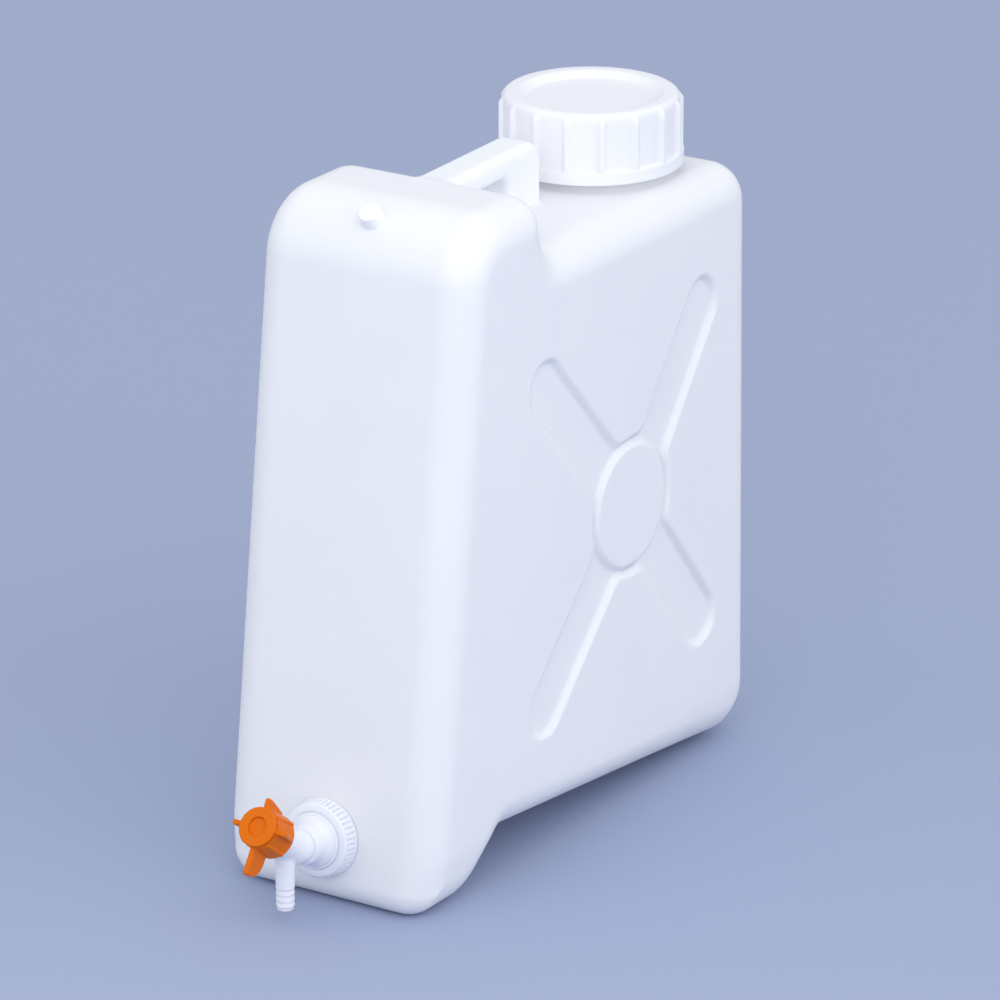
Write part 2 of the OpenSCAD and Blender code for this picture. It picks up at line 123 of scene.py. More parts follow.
OUTLET_TILT = math.atan(FRONT_LEAN)
OUTLET_Z = 44
OUTLET_Y = -FRONT_Y + FRONT_LEAN * OUTLET_Z
BEND_REACH = 34
BEND_Y = OUTLET_Y - BEND_REACH * math.cos(OUTLET_TILT)
BEND_Z = OUTLET_Z + BEND_REACH * math.sin(OUTLET_TILT)
VALVE_TILT = math.radians(36)
BOSS_LEN = 5
BOSS_R = 20.6
BOSS_BORE_R = 15
FLANGE_FRONT = BOSS_LEN + 4.6
NUT_R = 25.2
NUT_BACK = 0.4
NUT_FRONT = FLANGE_FRONT + 2.4
NUT_BORE_R = BOSS_R + 0.6
NUT_LIP_R = 18.6
NUT_RIBS = 44
NUT_RIB_W = 2.5
NUT_RIB_EDGE = 0.2
NUT_RIB_PHASE = 0.5
NOZZLE_Y = OUTLET_Y - 44
NOZZLE_R = 6
NOZZLE_GROOVE_R = 5.55
NOZZLE_TOP_Z = OUTLET_Z + 7
NOZZLE_END_Z = 11
BARREL_R = 10.4
KNOB_FACE = 50
KNOB_LEN = 23.5
KNOB_BACK = KNOB_FACE - KNOB_LEN
KNOB_PITCH = 5
KNOB_R = 14.3
KNOB_FRONT_R = KNOB_R - 1.1
BARREL_END = KNOB_FACE - 9.5
VALVE_THREAD = BARREL_END - 11
VALVE_THREAD_DEPTH = 0.7
VALVE_THREAD_W = 2.2
LEVER_R = 30
WING_R = 19.5

FOREMOST_Y = BEND_Y - (KNOB_FACE - 4.4) * math.cos(VALVE_TILT) - LEVER_R * math.sin(VALVE_TILT)
# Moves the part so that the middle of its length lies over the origin
SHIFT_Y = -(FOREMOST_Y + REAR_Y) / 2

# Radius of the corners that are written as sharp
SHARPEST = 0.05


# Shapes described by fields, which are negative inside, zero on the surface and positive outside


def outline(corners):
    """Distance to an outline with rounded corners, as a function of two coordinates"""
    points = np.array([c[:2] for c in corners], float)
    radii = np.array([max(c[2], SHARPEST) for c in corners], float)
    following = np.roll(points, -1, 0)
    if np.sum(points[:, 0] * following[:, 1] - points[:, 1] * following[:, 0]) < 0:
        points, radii = points[::-1], radii[::-1]
    ways = np.roll(points, -1, 0) - points
    ways /= np.linalg.norm(ways, axis=1)[:, None]
    lines, arcs, ends = [], [], []
    for i, (point, radius) in enumerate(zip(points, radii)):
        before, after = ways[i - 1], ways[i]
        turn = math.atan2(before[0] * after[1] - before[1] * after[0], before @ after)
        side = math.copysign(1, turn)
        inset = radius * math.tan(abs(turn) / 2)
        middle = point - inset * before + side * radius * np.array([-before[1], before[0]])
        out = point - middle
        arcs.append((middle, radius, side, out / max(np.linalg.norm(out), 1e-9), abs(turn) / 2))
        ends.append((point - inset * before, point + inset * after))
    for i in range(len(points)):
        start, end = ends[i][1], ends[(i + 1) % len(points)][0]
        lines.append((start, ways[i], (end - start) @ ways[i]))

    def distance(u, v):
        best = np.full(np.broadcast(u, v).shape, 1e9)
        for start, way, length in lines:
            du, dv = u - start[0], v - start[1]
            along = du * way[0] + dv * way[1]
            gap = way[1] * du - way[0] * dv
            beside = (along > -1e-6) & (along < length + 1e-6)
            best = np.where(beside & (np.abs(gap) < np.abs(best)), gap, best)
        for middle, radius, side, out, half_turn in arcs:
            du, dv = u - middle[0], v - middle[1]
            reach = np.hypot(du, dv)
            gap = side * (reach - radius)
            faces = du * out[0] + dv * out[1] >= reach * math.cos(half_turn)
            best = np.where(faces & (np.abs(gap) < np.abs(best)), gap, best)
        return best

    return distance


def joined(a, b, fillet):
    """Both shapes, with a fillet where they meet"""
    near = np.maximum(fillet - np.abs(a - b), 0) / fillet
    return np.minimum(a, b) - near * near * fillet / 4


def cut(a, b, edge=0.5):
    """The first shape without the second, with a slightly rounded edge"""
    return -joined(-a, b, edge)


def thick(flat, across, edge):
    """An outline given a thickness, with rounded edges"""
    a, b = flat + edge, across + edge
    return np.minimum(np.maximum(a, b), 0) + np.hypot(np.maximum(a, 0), np.maximum(b, 0)) - edge


def ramp(value, start, end):
    """Smooth step from 0 at start to 1 at end"""
    t = np.clip((value - start) / (end - start), 0, 1)
    return t * t * (3 - 2 * t)


def thread_ridge(angle, height, pitch, turns, width):
    """1 on the crest of a screw thread that starts at height 0, and 0 off it"""
    lead = height / pitch - angle / math.tau
    step = np.round(lead)
    along = step + angle / math.tau
    crest = ramp(np.abs(lead - step) * pitch, width / 2, width / 4)
    return crest * ramp(along, 0, 0.06) * ramp(along, turns, turns - 0.06)


def turned(value):
    """An angle counted from 0 to one full turn"""
    return np.mod(value, math.tau)


def along_axis(y, z, foot, tilt):
    """Distance along an axis that rises forwards by tilt, and distance above it"""
    dy, dz = y - foot[0], z - foot[1]
    return -dy * math.cos(tilt) + dz * math.sin(tilt), dy * math.sin(tilt) + dz * math.cos(tilt)


body_outline = outline(BODY)
handle_outline = outline(HANDLE)


def recess(y, z):
    """Depth of the cross in the side faces"""
    arms = []
    for tip in ARM_TIPS:
        way = np.array(tip, float) - RING
        length = np.linalg.norm(way)
        way /= length
        dy, dz = y - RING[0], z - RING[1]
        along = np.clip(dy * way[0] + dz * way[1], 0, length)
        arms.append(np.hypot(dy - along * way[0], dz - along * way[1]) - ARM_R)
    reach = np.hypot(y - RING[0], z - RING[1])
    cross = reach - RING_R
    for arm in arms:
        cross = joined(cross, arm, ARM_FILLET)
    cross = cut(cross, reach - ISLAND_R - RECESS_WALL, 1)
    return RECESS_DEPTH * ramp(cross, 0.6, -RECESS_WALL)


def tank_body(x, y, z):
    """Body without its handle and openings; its sides draw in a little near the floor"""
    drawn_in = DRAW_IN * ramp(z, DRAW_TOP_Z, DRAW_LOW_Z)
    across = np.abs(x) - TANK_HALF_W + recess(y, z) + drawn_in
    return thick(body_outline(y, z), across, EDGE_R)


def tank_outside(x, y, z):
    """Body, handle, neck and outlet boss as one blown and moulded form"""
    shape = tank_body(x, y, z)
    handle = thick(handle_outline(y, z), np.abs(x) - HANDLE_HALF_W, HANDLE_EDGE_R)
    shape = joined(shape, handle, HANDLE_FILLET)
    reach = np.hypot(x, y - NECK_Y)
    ridge = THREAD_DEPTH * thread_ridge(
        turned(np.arctan2(y - NECK_Y, x)), z - THREAD_Z, CAP_PITCH, NECK_TURNS, THREAD_W)
    neck = thick(reach - NECK_R - ridge, np.abs(z - NECK_TOP_Z + 30) - 30, 0.6)
    shape = joined(shape, neck, NECK_FILLET)
    t, above = along_axis(y, z, (OUTLET_Y, OUTLET_Z), OUTLET_TILT)
    boss = thick(np.hypot(x, above) - BOSS_R, np.abs(t + 4) - BOSS_LEN - 4, 0.3)
    return joined(shape, boss, 2)


def stud(x, y, z):
    """Short closed stud on the front of the hump"""
    t, above = along_axis(y, z, HUMP_ARC, STUD_TILT)
    along = np.abs(t - STUD_END / 2) - STUD_END / 2
    return thick(np.hypot(x, above) - STUD_R, along, STUD_EDGE_R)


def tank_inside(x, y, z):
    """Hollow of the tank with its neck bore and its outlet bore"""
    shape = tank_body(x, y, z) + WALL
    bore = np.maximum(np.hypot(x, y - NECK_Y) - NECK_BORE_R, np.abs(z - NECK_TOP_Z + 20) - 26)
    t, above = along_axis(y, z, (OUTLET_Y, OUTLET_Z), OUTLET_TILT)
    outlet = np.maximum(np.hypot(x, above) - BOSS_BORE_R, np.abs(t - 1) - 8)
    return joined(joined(shape, bore, 3), outlet, 1)


stem_outline = outline([
    (-10, -2, 0), (14, -2, 0.3), (14.6, -1, 0.3), (14.6, BOSS_LEN + 2, 0.2),
    (20.2, BOSS_LEN + 2, 0.3), (20.2, FLANGE_FRONT, 0.3), (18.5, FLANGE_FRONT, 0.2),
    (18.5, NUT_FRONT + 0.8, 0.4), (17.6, NUT_FRONT + 1.4, 0.4), (16.6, NUT_FRONT + 1.4, 0.3),
    (16.5, NUT_FRONT + 2.2, 0.5), (15.4, NUT_FRONT + 3, 1), (13.4, 17.1, 0.8), (12.5, 17.9, 0.8),
    (12.5, 27, 0.8), (10.3, 27.1, 0.4), (10.2, BEND_REACH, 0), (-10, BEND_REACH, 0),
])
barrel_outline = outline([
    (-8, 0, 0), (BARREL_R, 0, 0.5), (BARREL_R, BARREL_END, 0.8), (-8, BARREL_END, 0),
])
# Three barbs, a plain stretch and a root cone
tail_outline = outline([
    (-5, NOZZLE_TOP_Z, 0), (-5, NOZZLE_END_Z, 0), (5.1, NOZZLE_END_Z, 0.3),
    (NOZZLE_GROOVE_R, NOZZLE_END_Z + 2.4, 0.4), (NOZZLE_R, NOZZLE_END_Z + 2.9, 0.25),
    (NOZZLE_GROOVE_R, NOZZLE_END_Z + 6, 0.3), (NOZZLE_R, NOZZLE_END_Z + 6.7, 0.25),
    (NOZZLE_GROOVE_R, NOZZLE_END_Z + 10, 0.3), (NOZZLE_R, NOZZLE_END_Z + 10.7, 0.25),
    (NOZZLE_GROOVE_R, NOZZLE_END_Z + 14, 0.3), (NOZZLE_R, NOZZLE_END_Z + 14.7, 0.4),
    (NOZZLE_R, OUTLET_Z - 8, 0.5), (NOZZLE_R + 0.7, NOZZLE_TOP_Z, 0),
])


def spigot(x, y, z):
    """Stem through the nut, bend, barrel of the valve and hose tail, with the waterway"""
    stem_t, above = along_axis(y, z, (OUTLET_Y, OUTLET_Z), OUTLET_TILT)
    stem_reach = np.hypot(x, above)
    shape = stem_outline(stem_reach, stem_t)
    valve_t, above = along_axis(y, z, (BEND_Y, BEND_Z), VALVE_TILT)
    valve_reach = np.hypot(x, above)
    ridge = VALVE_THREAD_DEPTH * thread_ridge(
        turned(np.arctan2(above, x)), valve_t - VALVE_THREAD, KNOB_PITCH, 2, VALVE_THREAD_W)
    bend = np.hypot(valve_reach, valve_t) - BARREL_R
    barrel = np.minimum(barrel_outline(valve_reach - ridge, valve_t), bend)
    shape = joined(shape, barrel, 0.8)
    tail_reach = np.hypot(x, y - NOZZLE_Y)
    shape = joined(shape, tail_outline(tail_reach, z + 0 * x), 1.6)
    waterway = np.maximum(stem_reach - 7.5, np.abs(stem_t - 7.3) - 10.3)
    inlet = np.maximum(stem_reach - 4.2, np.abs(stem_t - 17.5) - 17.5)
    chamber = np.maximum(valve_reach - 8, np.abs(valve_t - 10) - 7)
    bore = np.maximum(valve_reach - 7.2, np.abs(valve_t - 35) - 18)
    outflow = np.maximum(tail_reach - 3.4, np.abs(z - NOZZLE_TOP_Z + 22) - 20)
    hollow = np.minimum.reduce(np.broadcast_arrays(waterway, inlet, chamber, bore, outflow))
    return cut(shape, hollow, 0.4)


knob_outline = outline([
    (4.15, KNOB_FACE - 12, 0.2), (6.6, KNOB_FACE - 12, 0.2), (6.6, KNOB_FACE - 4.6, 0.4),
    (11.5, KNOB_FACE - 4.6, 0.4), (11.5, KNOB_BACK, 0.4), (KNOB_R, KNOB_BACK, 0.6),
    (KNOB_FRONT_R, KNOB_FACE - 3.5, 0.4), (KNOB_FRONT_R - 1.6, KNOB_FACE - 3.3, 0.2),
    (KNOB_FRONT_R - 1.6, KNOB_FACE - 2.2, 0.2), (KNOB_FRONT_R - 0.3, KNOB_FACE - 2, 0.3),
    (KNOB_FRONT_R - 0.3, KNOB_FACE, 0.8), (-6, KNOB_FACE, 0), (-6, KNOB_FACE - 5.9, 0),
    (5.5, KNOB_FACE - 5.9, 0.2), (5.5, KNOB_FACE - 9.1, 0.2), (4.15, KNOB_FACE - 9.1, 0.2),
])
short_wing = outline([
    (12, KNOB_BACK + 2, 0), (15.5, KNOB_BACK + 2, 1.5), (WING_R - 0.9, KNOB_FACE - 9, 5),
    (WING_R, KNOB_FACE - 4, 1.5), (WING_R - 0.3, KNOB_FACE - 1.6, 1.2), (12, KNOB_FACE - 2.6, 0),
])
long_wing = outline([
    (12, KNOB_BACK + 3.6, 0), (LEVER_R, KNOB_BACK + 3.6, 11), (LEVER_R, KNOB_FACE - 3.8, 1.4),
    (12, KNOB_FACE - 3.4, 0),
])
grip_rib = outline([
    (12, KNOB_BACK + 0.8, 0), (15.5, KNOB_BACK + 0.8, 0.9), (KNOB_FRONT_R + 1, KNOB_FACE - 4.2, 0.9),
    (12, KNOB_FACE - 4.2, 0),
])


def knob(x, y, z):
    """Screw knob with three short wings, one long wing and four grip ribs"""
    t, above = along_axis(y, z, (BEND_Y, BEND_Z), VALVE_TILT)
    reach = np.hypot(x, above)
    lead = t - VALVE_THREAD - KNOB_PITCH / 2
    ridge = VALVE_THREAD_DEPTH * thread_ridge(
        turned(np.arctan2(above, x)), lead, KNOB_PITCH, 1, VALVE_THREAD_W)
    inner = np.where(reach < 12.6, ridge, 0)
    shape = knob_outline(reach + inner, t)
    for quarter in range(4):
        angle = quarter * math.pi / 2
        out = x * math.cos(angle) + above * math.sin(angle)
        side = np.abs(above * math.cos(angle) - x * math.sin(angle))
        flat = long_wing(out, t) if quarter == 3 else short_wing(out, t)
        shape = joined(shape, thick(flat, side - 1.7, 0.9), 1.2)
        angle += math.pi / 4
        out = x * math.cos(angle) + above * math.sin(angle)
        side = np.abs(above * math.cos(angle) - x * math.sin(angle))
        shape = joined(shape, thick(grip_rib(out, t), side - 1.2, 0.6), 1)
    dish = np.maximum(reach - 6.5 - 0.2 * (t - KNOB_FACE), np.abs(t - KNOB_FACE - 1) - 2.9)
    return cut(shape, dish, 0.4)


def skin(field, low, high, step):
    """Vertices and faces of the surface where the field is zero, one vertex to a grid cell"""
    axes = [np.arange(a - 2 * step, b + 3 * step, step) for a, b in zip(low, high)]
    x, y, z = np.meshgrid(*axes, indexing="ij", sparse=True)
    solid = np.broadcast_to(field(x, y, z), [len(a) for a in axes]) < 0
    size = np.array(solid.shape) - 1
    count = sum(
        solid[i:size[0] + i, j:size[1] + j, k:size[2] + k].astype(np.int8)
        for i in (0, 1) for j in (0, 1) for k in (0, 1))
    mixed = (count > 0) & (count < 8)
    number = np.full(mixed.shape, -1)
    number[mixed] = np.arange(mixed.sum())
    verts = np.column_stack([axes[a][i] + step / 2 for a, i in enumerate(np.nonzero(mixed))])
    quads = []
    for axis in range(3):
        here = solid.take(range(size[axis]), axis)
        edges = np.argwhere(here != solid.take(range(1, size[axis] + 1), axis))
        rings = []
        for du, dv in ((-1, -1), (0, -1), (0, 0), (-1, 0)):
            cell = edges.copy()
            cell[:, (axis + 1) % 3] += du
            cell[:, (axis + 2) % 3] += dv
            rings.append(number[tuple(cell.T)])
        quad = np.column_stack(rings)
        leaves = here[tuple(edges.T)]
        quad[~leaves] = quad[~leaves][:, ::-1]
        quads.append(quad)
    return verts, np.concatenate(quads)


def slope(field, verts, reach=0.05):
    """Gradient of a field at each vertex"""
    columns = []
    for axis in range(3):
        step = np.zeros(3)
        step[axis] = reach
        columns.append((field(*(verts + step).T) - field(*(verts - step).T)) / (2 * reach))
    return np.column_stack(columns)


def seated(field, verts, furthest):
    """Vertices moved along the gradient onto the surface"""
    way = slope(field, verts)
    move = field(*verts.T)[:, None] * way / np.maximum((way * way).sum(1), 0.05)[:, None]
    length = np.linalg.norm(move, axis=1)[:, None]
    return verts - move * np.minimum(1, furthest / np.maximum(length, 1e-9))


def evened(verts, quads):
    """Vertices moved halfway to the middle of their neighbours"""
    edges = np.concatenate([quads[:, [i, (i + 1) % 4]] for i in range(4)])
    total = np.column_stack([
        np.bincount(edges[:, 0], verts[edges[:, 1], a], len(verts))
        + np.bincount(edges[:, 1], verts[edges[:, 0], a], len(verts)) for a in range(3)])
    count = np.bincount(edges.ravel(), minlength=len(verts))[:, None]
    return (verts + total / np.maximum(count, 1)) / 2


def new_piece(name, verts, faces):
    """Object of its own made of vertices and faces"""
    mesh = bpy.data.meshes.new(name)
    mesh.from_pydata(verts.tolist(), [], faces.tolist() if hasattr(faces, "tolist") else faces)
    mesh.update()
    piece = bpy.data.objects.new(name, mesh)
    bpy.context.scene.collection.objects.link(piece)
    return piece


def baked(piece):
    """Applies the modifiers of a piece to its mesh"""
    mesh = bpy.data.meshes.new_from_object(
        piece.evaluated_get(bpy.context.evaluated_depsgraph_get()))
    piece.modifiers.clear()
    piece.data = mesh
    return piece


def combine(piece, other, operation):
    """Adds another piece to a piece, or takes it away, and removes the other one"""
    boolean = piece.modifiers.new("boolean", "BOOLEAN")
    boolean.operation = operation
    boolean.solver = "MANIFOLD"
    boolean.object = other
    baked(piece)
    bpy.data.objects.remove(other)


# How often the vertices of a moulding are evened out before it is thinned
EVENING_ROUNDS = 4


def moulding(name, field, low, high, step, keep):
    """Piece whose skin follows a field inside the box from low to high, in cells of one step;
    keep is the share of its triangles that stays"""
    verts, quads = skin(field, low, high, step)
    for _ in range(EVENING_ROUNDS):
        verts = seated(field, evened(verts, quads), step)
    verts = seated(field, verts, step)
    piece = new_piece(name, verts, quads)
    thinner = piece.modifiers.new("thinner", "DECIMATE")
    thinner.ratio = keep
    thinner.use_collapse_triangulate = True
    baked(piece)
    return piece


def coordinates(mesh):
    """Vertices of a mesh as rows of x, y and z"""
    values = np.empty(len(mesh.vertices) * 3)
    mesh.vertices.foreach_get("co", values)
    return values.reshape(-1, 3)


def finish_skin(piece, field):
    """Seats a moulding on its field once more and shades it with the field's own normals"""
    verts = coordinates(piece.data)
    for _ in range(2):
        verts = seated(field, verts, 0.4)
    piece.data.vertices.foreach_set("co", verts.ravel())
    piece.data.update()
    normals = slope(field, verts)
    normals /= np.maximum(np.linalg.norm(normals, axis=1), 1e-9)[:, None]
    piece.data.shade_smooth()
    piece.data.normals_split_custom_set_from_vertices(normals.tolist())
    piece.data.transform(TO_METRES @ Matrix.Translation((0, SHIFT_Y, 0)))
    return piece


def add_stud(shell):
    """Joins a finely divided stud to the blown shell"""
    points = turned_points([
        (0, STUD_ROOT, 0), (STUD_R, STUD_ROOT, 0), (STUD_R, STUD_END, STUD_EDGE_R),
        (0, STUD_END, 0),
    ], 0.8)
    columns = np.linspace(0, math.tau, 64, False)
    stub = turned_mesh("stud", points, np.zeros(len(points)), columns)
    stub.data.transform(
        Matrix.Translation((0, *HUMP_ARC)) @ Matrix.Rotation(math.pi / 2 - STUD_TILT, 4, "X"))
    combine(shell, stub, "UNION")


def tank_shell():
    """Blown tank with its stud on the outside and its hollow cut out"""
    outside = moulding(
        "tank_shell", tank_outside, (-81, -205, -1), (81, 204, 447), 2.2, 0.5)
    add_stud(outside)
    inside = moulding(
        "tank_hollow", tank_inside, (-79, -208, 1), (79, 200, 451), 4.5, 1.0)
    combine(outside, inside, "DIFFERENCE")

    def whole(x, y, z):
        solid = joined(tank_outside(x, y, z), stud(x, y, z), STUD_FILLET)
        return np.maximum(solid, -tank_inside(x, y, z))

    return finish_skin(outside, whole)


# Turned pieces with grip ribs

# Widest gap between the columns of a ring with ribs
COLUMN_GAP = 1.6


def turned_points(corners, step):
    """Points along an open outline with rounded corners, no further apart than step"""
    points = [np.array(corners[0][:2], float)]
    for i in range(1, len(corners)):
        corner = np.array(corners[i][:2], float)
        if i < len(corners) - 1:
            before = corner - np.array(corners[i - 1][:2], float)
            after = np.array(corners[i + 1][:2], float) - corner
            before /= np.linalg.norm(before)
            after /= np.linalg.norm(after)
            turn = math.atan2(before[0] * after[1] - before[1] * after[0], before @ after)
            radius = corners[i][2]
            inset = radius * math.tan(abs(turn) / 2)
            side = math.copysign(1, turn)
            left = np.array([-before[1], before[0]])
            middle = corner - inset * before + side * radius * left
            arc = [middle + radius * (math.sin(a) * before - side * math.cos(a) * left)
                   for a in np.linspace(0, abs(turn), 5 if radius > 0 else 1)]
        else:
            arc = [corner]
        gap = np.linalg.norm(arc[0] - points[-1])
        pieces = max(1, math.ceil(gap / step))
        start = points[-1]
        points += [start + (arc[0] - start) * k / pieces for k in range(1, pieces)]
        points += arc
    return np.array(points)


def rib_columns(count, ring_r, width, edge, phase):
    """Angles of the columns of a ring with ribs, closer together at the sides of each rib"""
    pitch = math.tau * ring_r / count
    half = width / 2
    between = math.ceil((pitch / 2 - half - edge) / COLUMN_GAP)
    offsets = [0, half - edge, half - edge / 2, half, half + edge / 2]
    offsets += list(np.linspace(half + edge, pitch / 2, between + 1))
    offsets = sorted({-o for o in offsets[:-1]} | set(offsets))
    return np.array([(i + 0.5 + phase + o / pitch) * math.tau / count
                     for i in range(count) for o in offsets])


def turned_mesh(name, points, grips, angles, bump=None):
    """Closed surface of revolution about Z; grips says how far the ribs rise at each point"""
    ring = points[0, 0] > 0
    n, m = len(angles), len(points)
    radius = np.broadcast_to(points[:, 0], (n, m)).copy()
    if bump is not None:
        radius += bump(turned(angles)[:, None], points[:, 1][None, :], points[:, 0][None, :])
    verts = np.stack([
        radius * np.cos(angles)[:, None], radius * np.sin(angles)[:, None],
        np.broadcast_to(points[:, 1], (n, m))], -1).reshape(-1, 3)
    faces = []
    for i in range(n):
        j = (i + 1) % n
        for k in range(m if ring else m - 1):
            following = (k + 1) % m
            faces.append((i * m + k, j * m + k, j * m + following, i * m + following))
    piece = new_piece(name, verts, faces)
    grip = piece.data.attributes.new("grip", "FLOAT", "POINT")
    grip.data.foreach_set("value", np.tile(grips.astype(float), n))
    if not ring:
        poles = piece.modifiers.new("poles", "WELD")
        poles.merge_threshold = 0.01
        baked(piece)
    return piece


def math_node(tree, operation, *values):
    """Output of a new math node; each value is a number or another node's output"""
    node = tree.nodes.new("ShaderNodeMath")
    node.operation = operation
    for socket, value in zip(node.inputs, values):
        if hasattr(value, "is_linked"):
            tree.links.new(value, socket)
        else:
            socket.default_value = value
    return node.outputs[0]


def grip_rib_tree():
    """Nodes that raise ribs round the Z axis where the attribute grip is set"""
    tree = bpy.data.node_groups.new("grip_ribs", "GeometryNodeTree")
    sockets = tree.interface
    sockets.new_socket("Geometry", in_out="INPUT", socket_type="NodeSocketGeometry")
    for name in ("Rib count", "Ring radius", "Rib width", "Crest radius", "Edge round", "Phase"):
        sockets.new_socket(name, in_out="INPUT", socket_type="NodeSocketFloat")
    sockets.new_socket("Finish", in_out="INPUT", socket_type="NodeSocketMaterial")
    sockets.new_socket("Geometry", in_out="OUTPUT", socket_type="NodeSocketGeometry")
    given = tree.nodes.new("NodeGroupInput").outputs
    place = tree.nodes.new("ShaderNodeSeparateXYZ")
    tree.links.new(tree.nodes.new("GeometryNodeInputPosition").outputs[0], place.inputs[0])
    angle = math_node(tree, "ARCTAN2", place.outputs["Y"], place.outputs["X"])
    turn = math_node(tree, "DIVIDE", angle, math.tau)
    ribs = math_node(tree, "MULTIPLY", turn, given["Rib count"])
    share = math_node(tree, "FRACT", math_node(tree, "SUBTRACT", ribs, given["Phase"]))
    off = math_node(tree, "ABSOLUTE", math_node(tree, "SUBTRACT", share, 0.5))
    round_r = math_node(tree, "MULTIPLY", given["Ring radius"], math.tau)
    off = math_node(tree, "MULTIPLY", off, math_node(tree, "DIVIDE", round_r, given["Rib count"]))
    half = math_node(tree, "MULTIPLY", given["Rib width"], 0.5)
    mask = tree.nodes.new("ShaderNodeMapRange")
    mask.interpolation_type = "SMOOTHSTEP"
    tree.links.new(off, mask.inputs["Value"])
    tree.links.new(math_node(tree, "ADD", half, given["Edge round"]), mask.inputs["From Min"])
    tree.links.new(math_node(tree, "SUBTRACT", half, given["Edge round"]), mask.inputs["From Max"])
    grip = tree.nodes.new("GeometryNodeInputNamedAttribute")
    grip.inputs["Name"].default_value = "grip"
    flat = tree.nodes.new("ShaderNodeVectorMath")
    flat.operation = "LENGTH"
    ground = tree.nodes.new("ShaderNodeCombineXYZ")
    for axis in "XY":
        tree.links.new(place.outputs[axis], ground.inputs[axis])
    tree.links.new(ground.outputs[0], flat.inputs[0])
    missing = math_node(tree, "SUBTRACT", given["Crest radius"], flat.outputs["Value"])
    rise = math_node(tree, "MULTIPLY", mask.outputs["Result"], math_node(tree, "MAXIMUM", missing, 0.0))
    rise = math_node(tree, "MULTIPLY", rise, grip.outputs["Attribute"])
    way = tree.nodes.new("ShaderNodeCombineXYZ")
    for axis, wave in (("X", "COSINE"), ("Y", "SINE")):
        part = math_node(tree, "MULTIPLY", rise, math_node(tree, wave, angle))
        tree.links.new(part, way.inputs[axis])
    lift = tree.nodes.new("GeometryNodeSetPosition")
    tree.links.new(given["Geometry"], lift.inputs["Geometry"])
    tree.links.new(way.outputs[0], lift.inputs["Offset"])
    real = tree.nodes.new("GeometryNodeRealizeInstances")
    tree.links.new(lift.outputs[0], real.inputs[0])
    finish = tree.nodes.new("GeometryNodeSetMaterial")
    tree.links.new(real.outputs[0], finish.inputs["Geometry"])
    tree.links.new(given["Finish"], finish.inputs["Material"])
    tree.links.new(finish.outputs[0], tree.nodes.new("NodeGroupOutput").inputs[0])
    return tree


def with_ribs(piece, tree, finish, **sizes):
    """Runs the rib nodes on a piece and keeps the result as a plain mesh"""
    ribs = piece.modifiers.new("ribs", "NODES")
    ribs.node_group = tree
    values = {key.replace("_", " ").capitalize(): float(size) for key, size in sizes.items()}
    values["Finish"] = finish
    for socket in tree.interface.items_tree:
        if socket.in_out == "INPUT" and socket.name in values:
            ribs[socket.identifier] = values[socket.name]
    return baked(piece)


def soften(piece, angle=35):
    """Smooth shading that keeps the sharp edges"""
    piece.data.shade_smooth()
    piece.data.set_sharp_from_angle(angle=math.radians(angle))


def cap_thread(angle, height, radius):
    """Change of radius of the cap's inner wall that leaves its thread standing"""
    ridge = thread_ridge(
        angle, height - THREAD_Z - CAP_PITCH / 2, CAP_PITCH, NECK_TURNS, THREAD_W)
    return np.where(np.abs(radius - CAP_INNER_R) < 0.1, -THREAD_DEPTH * ridge, 0)


def screw_cap(tree, finish):
    """Cap with a recessed top, a band at its foot, grip ribs above it and a thread inside"""
    skirt_r, band_r = CAP_R - 2.5, CAP_R + 0.3
    floor_z, band_z = CAP_TOP_Z - 4.5, CAP_BASE_Z + 8.5
    ceiling_z = floor_z - 3.2
    points = turned_points([
        (0, ceiling_z, 0), (CAP_INNER_R, ceiling_z, 0.8), (CAP_INNER_R, CAP_BASE_Z, 0.4),
        (band_r, CAP_BASE_Z, 0.8), (band_r, band_z, 0.8), (skirt_r, band_z + 0.6, 0.4),
        (skirt_r, CAP_TOP_Z, 4), (CAP_RIM_R + 2.6, CAP_TOP_Z, 3), (CAP_RIM_R - 2.6, floor_z, 3),
        (0, floor_z, 0),
    ], 2.4)
    radius, height = points.T
    on_skirt = (np.abs(radius - skirt_r) < 1.6) & (height > band_z - 0.3)
    grips = np.where(on_skirt, ramp(height, CAP_TOP_Z - 2.2, CAP_TOP_Z - 6), 0)
    columns = rib_columns(CAP_RIBS, skirt_r, CAP_RIB_W, CAP_RIB_EDGE, CAP_RIB_PHASE)
    piece = turned_mesh("screw_cap_skin", points, grips, columns, cap_thread)
    with_ribs(piece, tree, finish, rib_count=CAP_RIBS, ring_radius=skirt_r,
              rib_width=CAP_RIB_W, crest_radius=CAP_R + 0.1, edge_round=CAP_RIB_EDGE,
              phase=CAP_RIB_PHASE)
    soften(piece)
    piece.data.transform(TO_METRES @ Matrix.Translation((0, NECK_Y + SHIFT_Y, 0)))
    return piece


def outlet_matrix():
    """Places a piece that was made round Z on the outlet axis"""
    return (TO_METRES @ Matrix.Translation((0, OUTLET_Y + SHIFT_Y, OUTLET_Z))
            @ Matrix.Rotation(math.pi / 2 - OUTLET_TILT, 4, "X"))


